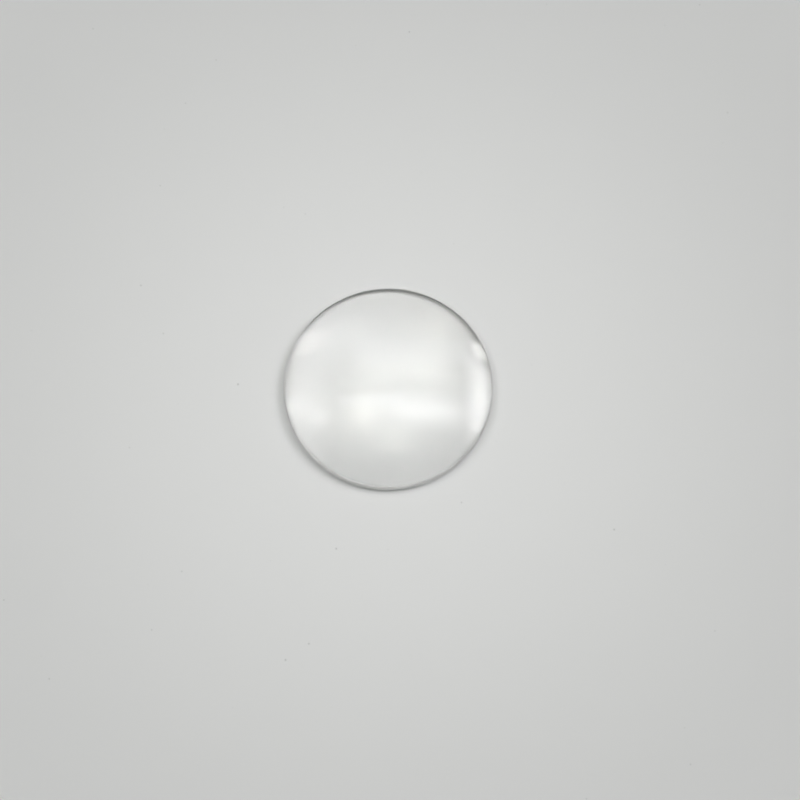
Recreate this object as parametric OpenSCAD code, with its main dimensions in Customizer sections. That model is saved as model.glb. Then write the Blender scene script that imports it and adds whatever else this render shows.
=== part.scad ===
// Plano-convex lens: a single disc of crown glass that lies on its flat face.
// The origin is the centre of the flat face, and +Z runs along the optical axis
// through the top of the dome. Lengths are in millimetres.

/* [Optics] */
// Distance from the lens at which parallel light comes to a focus
focal_length = 150; // [100:5:1000]
// How strongly the glass bends light (its refractive index)
refractive_index = 1.517; // [1.45:0.001:1.8]

/* [Disc] */
// Diameter over the ground edge
lens_d = 50; // [20:0.5:75]
// Thickness at the ground edge, before the corners are bevelled
edge_t = 2.5; // [1.5:0.1:8]

/* [Bevels] */
// How far the bevel round the flat face goes up the ground edge
flat_bevel = 0.25; // [0.1:0.05:0.6]
// How far the bevel round the dome goes down the ground edge
dome_bevel = 0.25; // [0.1:0.05:0.6]

/* [Hidden] */
$fn = 256;

lens_r = lens_d / 2;

// Lensmaker's relation for a lens with one flat face: it holds at any thickness.
dome_r = focal_length * (refractive_index - 1);

// Depth of the dome's spherical cap inside the circle of radius r.
function cap_depth(r) = dome_r - sqrt(dome_r * dome_r - r * r);

centre_t = edge_t + cap_depth(lens_r);

// How steep the dome has become where it reaches the ground edge.
rim_slope = asin(lens_r / dome_r);

// A bevel breaks the corner between two faces evenly, so it leans halfway between
// them: 45 degrees at the flat face, and a little steeper at the sloping dome.
function bevel_lean(face_slope) = (90 + face_slope) / 2;

flat_bevel_in = flat_bevel / tan(bevel_lean(0));
edge_top_z = edge_t - dome_bevel;

// The blank after edging: flat face, lower bevel, ground edge, and the cone of the
// upper bevel, which runs on to the axis so that only the dome limits it.
module edged_blank() {
    rotate_extrude()
        polygon([
            [0, 0],
            [lens_r - flat_bevel_in, 0],
            [lens_r, flat_bevel],
            [lens_r, edge_top_z],
            [0, edge_top_z + lens_r * tan(bevel_lean(rim_slope))]
        ]);
}

// The sphere that the convex face is polished to.
module polishing_sphere() {
    translate([0, 0, centre_t - dome_r])
        sphere(r = dome_r);
}

module lens() {
    color([0.90, 0.93, 0.92, 0.45])
        intersection() {
            edged_blank();
            polishing_sphere();
        }
}

lens();
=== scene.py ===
"""A plano-convex lens of clear crown glass, lying flat side down in a soft, pale studio.

The lens is turned by Geometry Nodes around the optical axis, zone by zone: flat face, lower bevel,
ground edge, upper bevel and dome. Its two faces are polished, and what the grinding wheel touched is
frosted. The unit is the metre, +Z is the optical axis, and the flat face lies at a height of nought.
"""

import logging
import math
from dataclasses import dataclass, field
from enum import Enum

import bpy
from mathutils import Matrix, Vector


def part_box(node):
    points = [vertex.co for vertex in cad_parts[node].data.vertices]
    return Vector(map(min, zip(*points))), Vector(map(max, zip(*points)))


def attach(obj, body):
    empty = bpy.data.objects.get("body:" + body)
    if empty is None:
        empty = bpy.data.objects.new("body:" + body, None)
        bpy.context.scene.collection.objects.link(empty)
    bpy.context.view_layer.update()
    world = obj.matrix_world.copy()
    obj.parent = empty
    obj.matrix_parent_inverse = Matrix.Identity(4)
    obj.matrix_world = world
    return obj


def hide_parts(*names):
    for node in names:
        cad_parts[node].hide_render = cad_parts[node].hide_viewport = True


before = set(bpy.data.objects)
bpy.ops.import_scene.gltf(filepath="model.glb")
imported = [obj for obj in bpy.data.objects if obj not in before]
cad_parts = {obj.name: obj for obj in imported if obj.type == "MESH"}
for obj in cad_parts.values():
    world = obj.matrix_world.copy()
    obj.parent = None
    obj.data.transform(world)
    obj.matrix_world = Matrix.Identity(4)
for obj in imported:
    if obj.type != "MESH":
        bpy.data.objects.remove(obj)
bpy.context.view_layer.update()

LOG = logging.getLogger("lens")
LENS_NODE = "lens"
LENS_BODY = "root"

MM = 0.001
REFRACTIVE_INDEX = 1.517
FOCAL_LENGTH = 150 * MM
IMAGE_SIZE = 800

Colour = tuple[float, float, float]
WHITE: Colour = (1.0, 1.0, 1.0)
SIDES = ("Right", "Back")


class Zone(Enum):
    """The stretches of the lens's profile, in the order that they're turned."""

    FLAT_FACE = "flat face"
    FLAT_BEVEL = "flat bevel"
    GROUND_EDGE = "ground edge"
    DOME_BEVEL = "dome bevel"
    DOME = "dome"


POLISHED_ZONES = (Zone.FLAT_FACE, Zone.DOME)


def add_node(tree: bpy.types.NodeTree, kind: str, **settings: object) -> bpy.types.Node:
    """Adds a node to a tree and sets its properties.

    Args:
        tree: The tree that gets the node.
        kind: The node's type name.
        settings: Properties of the node by name.

    Returns:
        The new node.
    """
    node = tree.nodes.new(kind)
    for name, value in settings.items():
        setattr(node, name, value)
    return node


def feed(tree: bpy.types.NodeTree, value: object, socket: bpy.types.NodeSocket) -> None:
    """Links an output to a socket, or writes a plain value into it.

    Args:
        tree: The tree that both belong to.
        value: An output socket, or a number, vector or material.
        socket: The input that takes it.
    """
    if isinstance(value, bpy.types.NodeSocket):
        tree.links.new(value, socket)
    else:
        socket.default_value = value


def calculate(tree: bpy.types.NodeTree, operation: str, *values: object) -> bpy.types.NodeSocket:
    """Adds a Math node.

    Args:
        tree: The tree that gets the node.
        operation: The node's operation.
        values: Its operands, as outputs or numbers.

    Returns:
        The node's output.
    """
    node = add_node(tree, "ShaderNodeMath", operation=operation)
    for value, socket in zip(values, node.inputs):
        feed(tree, value, socket)
    return node.outputs[0]


def remap(
    tree: bpy.types.NodeTree,
    value: object,
    source: tuple[object, object],
    target: tuple[object, object] = (0.0, 1.0),
) -> bpy.types.NodeSocket:
    """Adds a Map Range node that eases smoothly from one range to another.

    Args:
        tree: The tree that gets the node.
        value: What is mapped.
        source: The range that it is mapped from.
        target: The range that it is mapped to.

    Returns:
        The mapped value, held within the target range.
    """
    node = add_node(tree, "ShaderNodeMapRange", interpolation_type="SMOOTHSTEP")
    feed(tree, value, node.inputs["Value"])
    names = ("From Min", "From Max", "To Min", "To Max")
    for name, limit in zip(names, (*source, *target)):
        feed(tree, limit, node.inputs[name])
    return node.outputs["Result"]


def dimmed(tree: bpy.types.NodeTree, mask: object, shade: float) -> bpy.types.NodeSocket:
    """Gives a factor that is 1 where a mask is empty and the shade where it is full."""
    return calculate(tree, "MULTIPLY_ADD", mask, shade - 1, 1.0)


def swung(tree: bpy.types.NodeTree, noise: object, contrast: float) -> bpy.types.NodeSocket:
    """Gives a factor that swings about 1 by a contrast as a noise runs from 0 to 1."""
    return calculate(tree, "MULTIPLY_ADD", noise, contrast, 1 - contrast / 2)


def add_sockets(tree: bpy.types.NodeTree, side: str, sockets: dict[str, str]) -> None:
    """Gives a node group its named sockets.

    Args:
        tree: The group.
        side: INPUT or OUTPUT.
        sockets: The type of each socket by its name.
    """
    for name, kind in sockets.items():
        tree.interface.new_socket(name, in_out=side, socket_type=kind)


# ---------------------------------------------------------------- the shape of the lens


@dataclass
class TurnedZoneTree:
    """A Geometry Nodes group that turns one stretch of a profile round the optical axis."""

    name: str = "Turned Zone"
    frosted_mark: str = "frosted"

    def build(self) -> bpy.types.NodeTree:
        """Builds the group.

        A grid's X runs once round the axis and its Y along the profile. Where Dome Radius is nought
        the profile is straight, and otherwise it is an arc of that radius about the axis.

        Returns:
            The group, with the turned surface as its output.
        """
        tree = bpy.data.node_groups.new(self.name, "GeometryNodeTree")
        add_sockets(
            tree,
            "INPUT",
            {
                "Segments": "NodeSocketInt",
                "Rings": "NodeSocketInt",
                "Start Radius": "NodeSocketFloat",
                "Start Height": "NodeSocketFloat",
                "End Radius": "NodeSocketFloat",
                "End Height": "NodeSocketFloat",
                "Dome Radius": "NodeSocketFloat",
                "Frosted": "NodeSocketBool",
            },
        )
        add_sockets(tree, "OUTPUT", {"Surface": "NodeSocketGeometry"})
        given = add_node(tree, "NodeGroupInput").outputs
        grid = add_node(tree, "GeometryNodeMeshGrid")
        feed(tree, 1.0, grid.inputs["Size X"])
        feed(tree, 1.0, grid.inputs["Size Y"])
        columns = calculate(tree, "ADD", given["Segments"], 1)
        rows = calculate(tree, "ADD", given["Rings"], 1)
        feed(tree, columns, grid.inputs["Vertices X"])
        feed(tree, rows, grid.inputs["Vertices Y"])

        place = add_node(tree, "GeometryNodeInputPosition")
        split = add_node(tree, "ShaderNodeSeparateXYZ")
        feed(tree, place.outputs[0], split.inputs[0])
        turn = calculate(tree, "MULTIPLY", calculate(tree, "ADD", split.outputs["X"], 0.5), math.tau)
        along = calculate(tree, "ADD", split.outputs["Y"], 0.5)

        radius = self.between(tree, along, given["Start Radius"], given["End Radius"])
        straight = self.between(tree, along, given["Start Height"], given["End Height"])
        start_rise = self.arc_height(tree, given["Dome Radius"], given["Start Radius"])
        rise = calculate(tree, "SUBTRACT", self.arc_height(tree, given["Dome Radius"], radius), start_rise)
        domed = calculate(tree, "ADD", given["Start Height"], rise)
        choose = add_node(tree, "GeometryNodeSwitch", input_type="FLOAT")
        feed(tree, calculate(tree, "GREATER_THAN", given["Dome Radius"], 0.0), choose.inputs["Switch"])
        feed(tree, straight, choose.inputs["False"])
        feed(tree, domed, choose.inputs["True"])

        spot = add_node(tree, "ShaderNodeCombineXYZ")
        feed(tree, calculate(tree, "MULTIPLY", radius, calculate(tree, "COSINE", turn)), spot.inputs["X"])
        feed(tree, calculate(tree, "MULTIPLY", radius, calculate(tree, "SINE", turn)), spot.inputs["Y"])
        feed(tree, choose.outputs[0], spot.inputs["Z"])
        move = add_node(tree, "GeometryNodeSetPosition")
        feed(tree, grid.outputs["Mesh"], move.inputs["Geometry"])
        feed(tree, spot.outputs[0], move.inputs["Position"])
        mark = add_node(tree, "GeometryNodeStoreNamedAttribute", data_type="BOOLEAN", domain="FACE")
        feed(tree, move.outputs[0], mark.inputs["Geometry"])
        feed(tree, self.frosted_mark, mark.inputs["Name"])
        feed(tree, given["Frosted"], mark.inputs["Value"])
        out = add_node(tree, "NodeGroupOutput")
        feed(tree, mark.outputs[0], out.inputs["Surface"])
        return tree

    @staticmethod
    def between(
        tree: bpy.types.NodeTree, share: bpy.types.NodeSocket, start: object, end: object
    ) -> bpy.types.NodeSocket:
        """Gives the value that lies a share of the way from start to end."""
        step = calculate(tree, "SUBTRACT", end, start)
        return calculate(tree, "MULTIPLY_ADD", share, step, start)

    @staticmethod
    def arc_height(tree: bpy.types.NodeTree, arc_radius: object, radius: object) -> bpy.types.NodeSocket:
        """Gives the height of a sphere above its centre at a distance from the axis.

        Args:
            tree: The tree that gets the nodes.
            arc_radius: The sphere's radius.
            radius: The distance from the axis.

        Returns:
            The height, or nought beyond the sphere.
        """
        inside = calculate(
            tree,
            "SUBTRACT",
            calculate(tree, "MULTIPLY", arc_radius, arc_radius),
            calculate(tree, "MULTIPLY", radius, radius),
        )
        return calculate(tree, "SQRT", calculate(tree, "MAXIMUM", inside, 0.0))


@dataclass
class PlanoConvexLens:
    """The lens: one disc of glass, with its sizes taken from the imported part."""

    polish: bpy.types.Material
    frosting: bpy.types.Material
    flat_bevel: float = 0.25 * MM
    dome_bevel: float = 0.25 * MM
    focal_length: float = FOCAL_LENGTH
    refractive_index: float = REFRACTIVE_INDEX
    segments: int = 384
    rings: dict[Zone, int] = field(
        default_factory=lambda: {
            Zone.FLAT_FACE: 12,
            Zone.FLAT_BEVEL: 2,
            Zone.GROUND_EDGE: 8,
            Zone.DOME_BEVEL: 2,
            Zone.DOME: 96,
        }
    )
    weld_distance: float = 0.0001 * MM
    crease_angle: float = math.radians(15)

    def __post_init__(self) -> None:
        """Works out the profile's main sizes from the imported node's box."""
        low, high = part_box(LENS_NODE)
        self.radius = (high.x - low.x) / 2
        self.centre_thickness = high.z - low.z
        self.dome_radius = self.focal_length * (self.refractive_index - 1)
        dome_depth = self.dome_radius - math.sqrt(self.dome_radius**2 - self.radius**2)
        self.edge_top = self.centre_thickness - dome_depth - self.dome_bevel

    def dome_rim(self) -> tuple[float, float]:
        """Finds the circle where the dome runs out into its bevel.

        The bevel leans halfway between the upright edge and the dome's own slope there, so its
        cone is cut with the dome's sphere.

        Returns:
            The circle's radius and its height above the flat face.
        """
        rim_slope = math.asin(self.radius / self.dome_radius)
        pitch = math.tan((math.pi / 2 + rim_slope) / 2)
        above_centre = self.edge_top - (self.centre_thickness - self.dome_radius)
        # Where a x inset^2 + 2b x inset + c is nought, the cone meets the sphere.
        a = 1 + pitch**2
        b = pitch * above_centre - self.radius
        c = self.radius**2 + above_centre**2 - self.dome_radius**2
        inset = (math.sqrt(b * b - a * c) - b) / a
        return self.radius - inset, self.edge_top + pitch * inset

    def profile(self) -> dict[Zone, tuple[float, float, float, float]]:
        """Lays out the profile, from the axis under the flat face round to the top of the dome.

        Returns:
            Each zone's start radius, start height, end radius and end height.
        """
        corners = [
            (0.0, 0.0),
            (self.radius - self.flat_bevel, 0.0),
            (self.radius, self.flat_bevel),
            (self.radius, self.edge_top),
            self.dome_rim(),
            (0.0, self.centre_thickness),
        ]
        return {zone: (*corners[i], *corners[i + 1]) for i, zone in enumerate(Zone)}

    def tree(self) -> bpy.types.NodeTree:
        """Builds the lens's tree: one turned zone for each stretch of the profile, welded together.

        Returns:
            The tree, with a named input for each size. It ends in Realize Instances and Set Material.
        """
        turned = TurnedZoneTree()
        zone_group = turned.build()
        tree = bpy.data.node_groups.new("Lens Of Revolution", "GeometryNodeTree")
        inputs = {"Segments": "NodeSocketInt", "Dome Radius": "NodeSocketFloat"}
        for zone in Zone:
            title = zone.value.title()
            inputs[f"{title} Rings"] = "NodeSocketInt"
            for end in ("Start Radius", "Start Height", "End Radius", "End Height"):
                inputs[f"{title} {end}"] = "NodeSocketFloat"
        add_sockets(tree, "INPUT", inputs)
        add_sockets(tree, "OUTPUT", {"Lens": "NodeSocketGeometry"})
        given = add_node(tree, "NodeGroupInput").outputs
        join = add_node(tree, "GeometryNodeJoinGeometry")
        for zone in Zone:
            title = zone.value.title()
            part = add_node(tree, "GeometryNodeGroup", node_tree=zone_group, label=title)
            feed(tree, given["Segments"], part.inputs["Segments"])
            for name in ("Rings", "Start Radius", "Start Height", "End Radius", "End Height"):
                feed(tree, given[f"{title} {name}"], part.inputs[name])
            if zone is Zone.DOME:
                feed(tree, given["Dome Radius"], part.inputs["Dome Radius"])
            feed(tree, zone not in POLISHED_ZONES, part.inputs["Frosted"])
            tree.links.new(part.outputs["Surface"], join.inputs[0])
        weld = add_node(tree, "GeometryNodeMergeByDistance")
        feed(tree, join.outputs[0], weld.inputs["Geometry"])
        feed(tree, self.weld_distance, weld.inputs["Distance"])
        soften = add_node(tree, "GeometryNodeSetShadeSmooth", domain="FACE")
        feed(tree, weld.outputs[0], soften.inputs[0])
        crease = add_node(tree, "GeometryNodeSetShadeSmooth", domain="EDGE")
        angle = add_node(tree, "GeometryNodeInputMeshEdgeAngle")
        sharp = calculate(tree, "GREATER_THAN", angle.outputs["Unsigned Angle"], self.crease_angle)
        feed(tree, soften.outputs[0], crease.inputs[0])
        feed(tree, sharp, crease.inputs["Selection"])
        feed(tree, False, crease.inputs["Shade Smooth"])
        realize = add_node(tree, "GeometryNodeRealizeInstances")
        feed(tree, crease.outputs[0], realize.inputs[0])
        polish = add_node(tree, "GeometryNodeSetMaterial", label="polish everywhere")
        feed(tree, realize.outputs[0], polish.inputs["Geometry"])
        feed(tree, self.polish, polish.inputs["Material"])
        frosted = add_node(tree, "GeometryNodeInputNamedAttribute", data_type="BOOLEAN")
        feed(tree, turned.frosted_mark, frosted.inputs["Name"])
        frost = add_node(tree, "GeometryNodeSetMaterial", label="frost what was ground")
        feed(tree, polish.outputs[0], frost.inputs["Geometry"])
        feed(tree, frosted.outputs["Attribute"], frost.inputs["Selection"])
        feed(tree, self.frosting, frost.inputs["Material"])
        out = add_node(tree, "NodeGroupOutput")
        feed(tree, frost.outputs[0], out.inputs["Lens"])
        return tree

    def build(self) -> bpy.types.Object:
        """Turns the lens and makes it a plain mesh.

        Returns:
            The finished piece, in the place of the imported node.
        """
        tree = self.tree()
        values: dict[str, float] = {"Segments": self.segments, "Dome Radius": self.dome_radius}
        for zone, (r0, z0, r1, z1) in self.profile().items():
            title = zone.value.title()
            values[f"{title} Rings"] = self.rings[zone]
            values[f"{title} Start Radius"] = r0
            values[f"{title} Start Height"] = z0
            values[f"{title} End Radius"] = r1
            values[f"{title} End Height"] = z1
        blank = bpy.data.objects.new("lens_tree", bpy.data.meshes.new("lens_tree"))
        bpy.context.scene.collection.objects.link(blank)
        modifier = blank.modifiers.new("Turned", "NODES")
        modifier.node_group = tree
        for item in tree.interface.items_tree:
            if item.in_out == "INPUT" and item.name in values:
                modifier[item.identifier] = values[item.name]
        depsgraph = bpy.context.evaluated_depsgraph_get()
        mesh = bpy.data.meshes.new_from_object(blank.evaluated_get(depsgraph), depsgraph=depsgraph)
        mesh.name = "lens_glass"
        mesh.attributes.remove(mesh.attributes[TurnedZoneTree.frosted_mark])
        mesh.materials.pop(index=0)  # an empty slot, which no face uses
        bpy.data.objects.remove(blank)
        piece = bpy.data.objects.new("lens_glass", mesh)
        bpy.context.scene.collection.objects.link(piece)
        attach(piece, LENS_BODY)
        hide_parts(LENS_NODE)
        return piece


# ---------------------------------------------------------------- finishes


@dataclass(frozen=True)
class HandlingMarksTree:
    """The shader node group of what handling leaves behind: a wiped film and specks of dust."""

    name: str = "Handling Marks"
    wipe_turn: float = math.radians(-28)
    wipe_stretch: float = 7.0
    film_range: tuple[float, float] = (0.46, 0.74)
    speck_core: float = 0.45

    def build(self) -> bpy.types.NodeTree:
        """Builds the group, or gives the one that is already there.

        Place is a position on the piece, and the sizes are lengths.

        Returns:
            The group, whose Film and Specks are masks.
        """
        if self.name in bpy.data.node_groups:
            return bpy.data.node_groups[self.name]
        tree = bpy.data.node_groups.new(self.name, "ShaderNodeTree")
        inputs = {"Place": "NodeSocketVector", "Wipe Width": "NodeSocketFloat"}
        inputs |= {"Speck Spacing": "NodeSocketFloat", "Speck Radius": "NodeSocketFloat"}
        add_sockets(tree, "INPUT", inputs)
        add_sockets(tree, "OUTPUT", {"Film": "NodeSocketFloat", "Specks": "NodeSocketFloat"})
        given = add_node(tree, "NodeGroupInput").outputs
        out = add_node(tree, "NodeGroupOutput")

        swept = add_node(tree, "ShaderNodeMapping")
        feed(tree, given["Place"], swept.inputs["Vector"])
        feed(tree, (0.0, 0.0, self.wipe_turn), swept.inputs["Rotation"])
        feed(tree, (1 / self.wipe_stretch, 1.0, 1.0), swept.inputs["Scale"])
        streaks = add_node(tree, "ShaderNodeTexNoise")
        feed(tree, swept.outputs[0], streaks.inputs["Vector"])
        feed(tree, calculate(tree, "DIVIDE", 1.0, given["Wipe Width"]), streaks.inputs["Scale"])
        feed(tree, remap(tree, streaks.outputs[0], self.film_range), out.inputs["Film"])

        dust = add_node(tree, "ShaderNodeTexVoronoi")
        feed(tree, given["Place"], dust.inputs["Vector"])
        feed(tree, calculate(tree, "DIVIDE", 1.0, given["Speck Spacing"]), dust.inputs["Scale"])
        away = calculate(tree, "MULTIPLY", dust.outputs["Distance"], given["Speck Spacing"])
        luck = add_node(tree, "ShaderNodeSeparateColor")
        feed(tree, dust.outputs["Color"], luck.inputs[0])
        reach = calculate(tree, "MULTIPLY", given["Speck Radius"], luck.outputs["Red"])
        core = calculate(tree, "MULTIPLY", reach, self.speck_core)
        feed(tree, remap(tree, away, (core, reach), (1.0, 0.0)), out.inputs["Specks"])
        return tree


@dataclass(frozen=True)
class FineGrainTree:
    """The shader node group of an even, fine texture with a slow drift over it."""

    name: str = "Fine Grain"
    drift_stretch: float = 40.0
    grain_detail: float = 3.0
    drift_detail: float = 1.0

    def build(self) -> bpy.types.NodeTree:
        """Builds the group, or gives the one that is already there.

        Place is a position on the piece, and Grain Size is a length.

        Returns:
            The group, whose Grain and Drift both run about 0.5.
        """
        if self.name in bpy.data.node_groups:
            return bpy.data.node_groups[self.name]
        tree = bpy.data.node_groups.new(self.name, "ShaderNodeTree")
        add_sockets(tree, "INPUT", {"Place": "NodeSocketVector", "Grain Size": "NodeSocketFloat"})
        add_sockets(tree, "OUTPUT", {"Grain": "NodeSocketFloat", "Drift": "NodeSocketFloat"})
        given = add_node(tree, "NodeGroupInput").outputs
        out = add_node(tree, "NodeGroupOutput")
        drift_size = calculate(tree, "MULTIPLY", given["Grain Size"], self.drift_stretch)
        layers = (
            ("Grain", given["Grain Size"], self.grain_detail),
            ("Drift", drift_size, self.drift_detail),
        )
        for name, size, detail in layers:
            noise = add_node(tree, "ShaderNodeTexNoise")
            feed(tree, given["Place"], noise.inputs["Vector"])
            feed(tree, calculate(tree, "DIVIDE", 1.0, size), noise.inputs["Scale"])
            feed(tree, detail, noise.inputs["Detail"])
            feed(tree, noise.outputs[0], out.inputs[name])
        return tree


def place_group(
    tree: bpy.types.NodeTree, group: bpy.types.NodeTree, **inputs: object
) -> bpy.types.NodeOutputs:
    """Places a shader node group in a tree.

    Args:
        tree: The tree that gets the group.
        group: The group.
        inputs: Its inputs, with an underscore for each space in their names.

    Returns:
        The group's outputs.
    """
    node = add_node(tree, "ShaderNodeGroup", node_tree=group)
    for name, value in inputs.items():
        feed(tree, value, node.inputs[name.replace("_", " ")])
    return node.outputs


def shaded(tree: bpy.types.NodeTree, colour: Colour, *factors: object) -> bpy.types.NodeSocket:
    """Darkens a colour by one factor after another.

    Args:
        tree: The tree that gets the nodes.
        colour: The colour.
        factors: Outputs or numbers that it is multiplied by.

    Returns:
        The darkened colour.
    """
    result: object = colour
    for factor in factors:
        scale = add_node(tree, "ShaderNodeVectorMath", operation="SCALE")
        feed(tree, result, scale.inputs[0])
        feed(tree, factor, scale.inputs["Scale"])
        result = scale.outputs[0]
    return result


@dataclass(frozen=True)
class GlassFinish:
    """What both finishes of the crown glass share: its index, its film and dust, and its clarity, a painted
    shade on the lens's outer ring.

    Clarity is what one more inner reflection leaves of the table's stray light, once that light has had its
    free turns. Real crown glass doesn't fade light like this. It is painted shade in the glass's colour, a
    correction set by trial, without which the outer ring of the lens comes out too light.
    """

    name: str
    tint: Colour
    refractive_index: float = REFRACTIVE_INDEX
    wipe_width: float = 1.6 * MM
    speck_spacing: float = 3.1 * MM
    speck_radius: float = 0.26 * MM
    speck_shade: float = 0.66
    speck_roughness: float = 0.35
    free_turns: float = 2.0
    clarity: float = 0.55

    def glass(
        self,
    ) -> tuple[bpy.types.Material, bpy.types.Node, bpy.types.NodeSocket, bpy.types.NodeOutputs]:
        """Starts a glass material.

        Returns:
            The material, its shader, the place on the piece and the handling marks there.
        """
        material = bpy.data.materials.new(self.name)
        material.use_nodes = True
        tree = material.node_tree
        shader = tree.nodes["Principled BSDF"]
        shader.inputs["IOR"].default_value = self.refractive_index
        shader.inputs["Transmission Weight"].default_value = 1.0
        place = add_node(tree, "ShaderNodeTexCoord").outputs["Object"]
        marks = place_group(
            tree,
            HandlingMarksTree().build(),
            Place=place,
            Wipe_Width=self.wipe_width,
            Speck_Spacing=self.speck_spacing,
            Speck_Radius=self.speck_radius,
        )
        return material, shader, place, marks

    def dusted(self, tree: bpy.types.NodeTree, marks: bpy.types.NodeOutputs) -> bpy.types.NodeSocket:
        """Gives how much light the dust lets through."""
        return dimmed(tree, marks["Specks"], self.speck_shade)

    def painted_stray_shade(self, tree: bpy.types.NodeTree) -> bpy.types.NodeSocket:
        """Paints shade into the glass's colour for the table's stray light as it runs to and fro inside the
        glass, which darkens the lens's outer ring.

        Args:
            tree: The material's tree, which gets the nodes.

        Returns:
            The share of the light that is left. It is 1 for a straight look through the glass.
        """
        path = add_node(tree, "ShaderNodeLightPath").outputs
        extra = calculate(tree, "SUBTRACT", path["Glossy Depth"], self.free_turns)
        stray = calculate(tree, "MINIMUM", path["Diffuse Depth"], 1.0)
        turns = calculate(tree, "MULTIPLY", calculate(tree, "MAXIMUM", extra, 0.0), stray)
        return calculate(tree, "POWER", self.clarity, turns)


@dataclass(frozen=True)
class PolishedGlass(GlassFinish):
    """Clear crown glass with a polished face."""

    name: str = "polished crown glass"
    tint: Colour = (0.990, 0.990, 0.986)
    film_shade: float = 0.992

    def material(self) -> bpy.types.Material:
        """Builds the finish: clear and smooth but for a faint film and a few specks of dust.

        Returns:
            The material.
        """
        material, shader, _, marks = self.glass()
        tree = material.node_tree
        filmed = dimmed(tree, marks["Film"], self.film_shade)
        # Painted shade: the stray-light factor darkens the polished glass's colour on the lens's outer ring.
        colour = shaded(tree, self.tint, filmed, self.dusted(tree, marks), self.painted_stray_shade(tree))
        feed(tree, colour, shader.inputs["Base Color"])
        rough = calculate(tree, "MULTIPLY", marks["Specks"], self.speck_roughness)
        feed(tree, rough, shader.inputs["Roughness"])
        return material


@dataclass(frozen=True)
class GroundGlass(GlassFinish):
    """Glass as the grinding wheel leaves it: matt and slightly see-through, and tinted grey as painted shade
    for the dark line round the lens's rim.
    """

    name: str = "ground glass edge"
    # Painted shade: this grey tint darkens the ground edge in place of the dark rim line that light trapped
    # in the glass gives.
    tint: Colour = (0.76, 0.76, 0.757)
    roughness: tuple[float, float] = (0.38, 0.54)
    grain_size: float = 0.03 * MM
    grain_depth: float = 0.002 * MM
    drift_shade: float = 0.97

    def material(self) -> bpy.types.Material:
        """Builds the finish: a fine grind that drifts a little in tone and scatters the light.

        Returns:
            The material.
        """
        material, shader, place, marks = self.glass()
        tree = material.node_tree
        grain = place_group(tree, FineGrainTree().build(), Place=place, Grain_Size=self.grain_size)
        tone = dimmed(tree, grain["Drift"], self.drift_shade)
        # Painted shade: the grey tint and the stray-light factor darken the ground edge's colour.
        colour = shaded(tree, self.tint, tone, self.dusted(tree, marks), self.painted_stray_shade(tree))
        feed(tree, colour, shader.inputs["Base Color"])
        low, high = self.roughness
        rough = calculate(tree, "MULTIPLY_ADD", grain["Grain"], high - low, low)
        feed(tree, rough, shader.inputs["Roughness"])
        bump = add_node(tree, "ShaderNodeBump")
        feed(tree, self.grain_depth, bump.inputs["Distance"])
        feed(tree, grain["Grain"], bump.inputs["Height"])
        feed(tree, bump.outputs[0], shader.inputs["Normal"])
        return material


# ---------------------------------------------------------------- the studio


@dataclass(frozen=True)
class SoftWindow:
    """A glowing patch of sky with feathered edges.

    Places and sizes are slopes: how far a direction leans to the right and to the back for each
    unit that it climbs, so that (0, 0) is straight overhead.
    """

    name: str
    centre: tuple[float, float]
    half_size: tuple[float, float]
    feather: tuple[float, float]
    radiance: float
    tint: Colour = WHITE


@dataclass(frozen=True)
class SoftWindowTree:
    """The shader node group that adds one soft window to a sky."""

    name: str = "Soft Window"

    def build(self) -> bpy.types.NodeTree:
        """Builds the group, which takes the sky so far and adds the window's glow.

        Returns:
            The group, with the brighter sky as its output.
        """
        tree = bpy.data.node_groups.new(self.name, "ShaderNodeTree")
        inputs = {"Sky": "NodeSocketVector", "Tint": "NodeSocketVector", "Radiance": "NodeSocketFloat"}
        for side in SIDES:
            for word in ("Lean", "Centre", "Half Size", "Feather"):
                inputs[f"{word} {side}"] = "NodeSocketFloat"
        add_sockets(tree, "INPUT", inputs)
        add_sockets(tree, "OUTPUT", {"Sky": "NodeSocketVector"})
        given = add_node(tree, "NodeGroupInput").outputs
        glow = given["Radiance"]
        for side in SIDES:
            away = calculate(tree, "SUBTRACT", given[f"Lean {side}"], given[f"Centre {side}"])
            edge = given[f"Half Size {side}"]
            inner = calculate(tree, "SUBTRACT", edge, given[f"Feather {side}"])
            mask = remap(tree, calculate(tree, "ABSOLUTE", away), (inner, edge), (1.0, 0.0))
            glow = calculate(tree, "MULTIPLY", glow, mask)
        light = add_node(tree, "ShaderNodeVectorMath", operation="SCALE")
        feed(tree, given["Tint"], light.inputs[0])
        feed(tree, glow, light.inputs["Scale"])
        total = add_node(tree, "ShaderNodeVectorMath", operation="ADD")
        feed(tree, given["Sky"], total.inputs[0])
        feed(tree, light.outputs[0], total.inputs[1])
        out = add_node(tree, "NodeGroupOutput")
        feed(tree, total.outputs[0], out.inputs["Sky"])
        return tree


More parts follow.
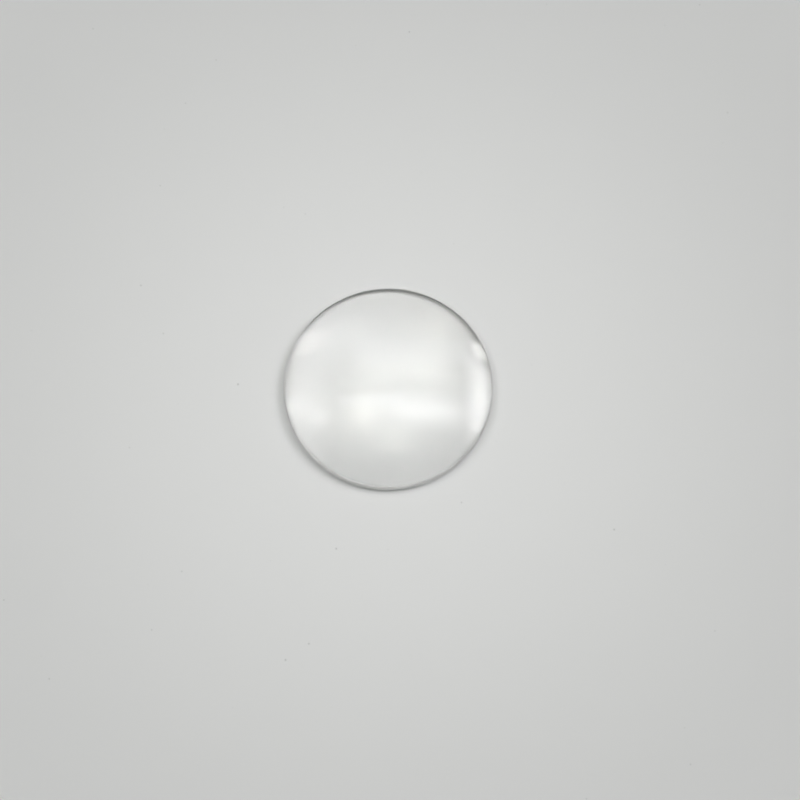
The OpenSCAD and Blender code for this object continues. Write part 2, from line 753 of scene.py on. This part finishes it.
@dataclass(frozen=True)
class Table:
    """The pale table top that the lens lies on."""

    colour: Colour = (0.739, 0.744, 0.753)
    half_width: float = 3.0
    drop: float = 0.02 * MM
    # Painted light: the table's colour darkens from the lens out to this radius, down to the falloff share,
    # as a painted pool of the studio light.
    painted_pool_radius: float = 140 * MM
    falloff: float = 0.80
    grain_size: float = 0.35 * MM
    grain_contrast: float = 0.02
    drift_contrast: float = 0.012
    speck_spacing: float = 6 * MM
    speck_radius: float = 0.32 * MM
    speck_shade: float = 0.72

    def build(self) -> bpy.types.Object:
        """Lays the table top just under the flat face.

        Returns:
            The table, which is part of the stage and not of the lens.
        """
        w, z = self.half_width, -self.drop
        mesh = bpy.data.meshes.new("table")
        mesh.from_pydata([(-w, -w, z), (w, -w, z), (w, w, z), (-w, w, z)], [], [(0, 1, 2, 3)])
        table = bpy.data.objects.new("table", mesh)
        bpy.context.scene.collection.objects.link(table)
        mesh.materials.append(self.material())
        return table

    def material(self) -> bpy.types.Material:
        """Builds the matt, pale finish: faintly grained, with a speck here and there, and a painted pool of
        light round the lens.

        Returns:
            The material, which darkens a little away from the lens: a painted falloff of the studio light.
        """
        material = bpy.data.materials.new("pale table")
        material.use_nodes = True
        tree = material.node_tree
        shader = tree.nodes["Principled BSDF"]
        shader.inputs["Roughness"].default_value = 1.0
        shader.inputs["Specular IOR Level"].default_value = 0.0
        place = add_node(tree, "ShaderNodeTexCoord").outputs["Object"]
        length = add_node(tree, "ShaderNodeVectorMath", operation="LENGTH")
        feed(tree, place, length.inputs[0])
        # Painted light: a pool of light painted into the table's colour, lightest at the lens and darker
        # further out.
        painted_light_pool = remap(tree, length.outputs["Value"], (0.0, self.painted_pool_radius), (1.0, self.falloff))
        grain = place_group(tree, FineGrainTree().build(), Place=place, Grain_Size=self.grain_size)
        fine = swung(tree, grain["Grain"], self.grain_contrast)
        slow = swung(tree, grain["Drift"], self.drift_contrast)
        marks = place_group(
            tree,
            HandlingMarksTree().build(),
            Place=place,
            Wipe_Width=self.grain_size,
            Speck_Spacing=self.speck_spacing,
            Speck_Radius=self.speck_radius,
        )
        dust = dimmed(tree, marks["Specks"], self.speck_shade)
        colour = shaded(tree, self.colour, painted_light_pool, fine, slow, dust)
        feed(tree, colour, shader.inputs["Base Color"])
        return material


@dataclass(frozen=True)
class Surroundings:
    """The room: an even, dim tone all round, with soft windows overhead and a pale backdrop.

    The backdrop has the table's own tone far from the lens, so that no horizon shows. The windows'
    numbers and the room's tint come from a program's fit to the reflections in the lens. Another
    program rounded the windows, and three of their brightnesses were then set one by one.
    """

    tint: Colour = (0.98, 1.01, 0.93)
    room: float = 0.20
    backdrop: Colour = (0.557, 0.562, 0.548)
    backdrop_top: tuple[float, float] = (0.17, 0.26)
    least_climb: float = 0.01
    windows: tuple[SoftWindow, ...] = (
        SoftWindow("ceiling panel", (0.10, 0.40), (0.55, 0.30), (0.45, 0.45), 4.8, (1.00, 1.00, 0.95)),
        SoftWindow("ceiling, left end", (-0.16, 0.32), (0.20, 0.08), (0.02, 0.12), 0.8, (0.95, 1.00, 0.95)),
        SoftWindow("bar, left half", (-0.16, 0.12), (0.20, 0.24), (0.25, 0.25), 3.9, (1.00, 1.00, 0.90)),
        SoftWindow("bar, right half", (0.25, 0.12), (0.50, 0.18), (0.45, 0.20), 4.8),
        SoftWindow("bar, core", (-0.12, 0.18), (0.24, 0.06), (0.06, 0.04), 0.9, (1.00, 1.00, 1.10)),
        SoftWindow("right strip", (0.95, 0.25), (0.45, 0.45), (0.20, 0.25), 5.7),
        SoftWindow("right strip, body", (0.72, 0.20), (0.24, 0.16), (0.15, 0.12), 1.2, (1.00, 1.00, 1.10)),
        SoftWindow("right strip, core", (0.68, 0.26), (0.08, 0.18), (0.06, 0.35), 2.6, (1.00, 1.05, 0.80)),
        SoftWindow("right spot", (0.80, 0.72), (0.18, 0.14), (0.14, 0.12), 8.8, (1.00, 1.00, 0.95)),
        SoftWindow("right strip, near tip", (0.64, 0.04), (0.12, 0.06), (0.12, 0.06), 1.9),
        SoftWindow("left panel", (-0.65, 0.35), (0.40, 0.45), (0.45, 0.45), 3.5),
        SoftWindow("left panel, near end", (-0.70, -0.10), (0.35, 0.45), (0.30, 0.25), 2.4),
        SoftWindow("left panel, middle", (-0.72, 0.22), (0.18, 0.08), (0.45, 0.02), 2.2, (1.00, 1.00, 1.15)),
        SoftWindow("left panel, far end", (-0.65, 0.78), (0.30, 0.20), (0.45, 0.15), 3.6, (1.05, 1.00, 0.95)),
        SoftWindow("left patch, outer", (-0.76, 0.20), (0.12, 0.06), (0.20, 0.04), 2.3, (1.05, 1.05, 0.80)),
        SoftWindow("left patch, inner", (-0.48, 0.08), (0.12, 0.12), (0.10, 0.15), 2.0),
        SoftWindow("front panel", (0.04, -0.08), (0.24, 0.14), (0.25, 0.10), 1.5, (1.00, 1.00, 0.90)),
    )

    def build(self) -> bpy.types.World:
        """Sets the world.

        Returns:
            The world, whose windows light the lens, while a camera or a look through the glass
            sees the pale backdrop near the horizon. Light that the table scatters never sees it.
        """
        world = bpy.data.worlds.new("studio")
        world.use_nodes = True
        tree = world.node_tree
        way = add_node(tree, "ShaderNodeTexCoord").outputs["Generated"]
        split = add_node(tree, "ShaderNodeSeparateXYZ")
        feed(tree, way, split.inputs[0])
        climb = calculate(tree, "MAXIMUM", split.outputs["Z"], self.least_climb)
        lean = {
            "Right": calculate(tree, "DIVIDE", split.outputs["X"], climb),
            "Back": calculate(tree, "DIVIDE", split.outputs["Y"], climb),
        }
        group = SoftWindowTree().build()
        sky: object = tuple(self.room * part for part in self.tint)
        for window in self.windows:
            pane = add_node(tree, "ShaderNodeGroup", node_tree=group, label=window.name)
            feed(tree, sky, pane.inputs["Sky"])
            feed(tree, window.tint, pane.inputs["Tint"])
            feed(tree, window.radiance, pane.inputs["Radiance"])
            for i, side in enumerate(SIDES):
                feed(tree, lean[side], pane.inputs[f"Lean {side}"])
                feed(tree, window.centre[i], pane.inputs[f"Centre {side}"])
                feed(tree, window.half_size[i], pane.inputs[f"Half Size {side}"])
                feed(tree, window.feather[i], pane.inputs[f"Feather {side}"])
            sky = pane.outputs["Sky"]
        rise = calculate(tree, "ABSOLUTE", split.outputs["Z"])
        low = remap(tree, rise, self.backdrop_top, (1.0, 0.0))
        path = add_node(tree, "ShaderNodeLightPath").outputs
        seen = calculate(tree, "MAXIMUM", path["Is Camera Ray"], path["Is Transmission Ray"])
        unscattered = calculate(tree, "LESS_THAN", path["Diffuse Depth"], 0.5)
        shown = calculate(tree, "MULTIPLY", seen, unscattered)
        mix = add_node(tree, "ShaderNodeMix", data_type="VECTOR")
        # A Mix node has a socket for each data type, so the vector ones are found by their places.
        feed(tree, calculate(tree, "MULTIPLY", shown, low), mix.inputs[0])
        feed(tree, sky, mix.inputs[4])
        feed(tree, self.backdrop, mix.inputs[5])
        feed(tree, mix.outputs[1], tree.nodes["Background"].inputs["Color"])
        bpy.context.scene.world = world
        return world


@dataclass(frozen=True)
class Viewpoint:
    """The camera: far off, looking down on the lens from a little in front of it."""

    lean: float = math.radians(16.6)
    distance: float = 0.8
    aim: tuple[float, float, float] = (2.80 * MM, -3.25 * MM, 2.5 * MM)
    lens_width_px: float = 208.6
    lens_width: float = 50 * MM
    sensor: float = 36.0

    def build(self) -> bpy.types.Object:
        """Places the camera.

        Returns:
            The camera, which the scene now looks through.
        """
        data = bpy.data.cameras.new("camera")
        data.sensor_width = self.sensor
        focal_px = self.lens_width_px / self.lens_width * self.distance
        data.lens = focal_px / IMAGE_SIZE * self.sensor
        camera = bpy.data.objects.new("camera", data)
        target = Vector(self.aim)
        back = Vector((0.0, -math.sin(self.lean), math.cos(self.lean)))
        camera.location = target + back * self.distance
        camera.rotation_euler = (self.lean, 0.0, 0.0)
        bpy.context.scene.collection.objects.link(camera)
        bpy.context.scene.camera = camera
        return camera


@dataclass
class Studio:
    """Everything round the lens: table, room and camera."""

    table: Table = field(default_factory=Table)
    surroundings: Surroundings = field(default_factory=Surroundings)
    viewpoint: Viewpoint = field(default_factory=Viewpoint)
    inner_reflections: int = 12
    crossings: int = 12

    def build(self) -> None:
        """Sets the studio up.

        What the glass mirrors stays sharp and free of mottling, and light has enough bounces to run
        from one side of the lens to the other between its faces.
        """
        scene = bpy.context.scene
        scene.view_settings.view_transform = "Standard"
        scene.cycles.blur_glossy = 0.0
        scene.cycles.denoising_input_passes = "RGB_ALBEDO"
        scene.cycles.glossy_bounces = self.inner_reflections
        scene.cycles.transmission_bounces = self.crossings
        scene.cycles.max_bounces = self.inner_reflections + self.crossings
        self.table.build()
        self.surroundings.build()
        self.viewpoint.build()


def main() -> None:
    """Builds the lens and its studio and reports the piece."""
    logging.basicConfig(level=logging.INFO, format="%(name)s: %(message)s")
    lens = PlanoConvexLens(PolishedGlass().material(), GroundGlass().material())
    piece = lens.build()
    LOG.info("%s: %d faces", piece.name, len(piece.data.polygons))
    Studio().build()


if __name__ == "__main__":
    main()
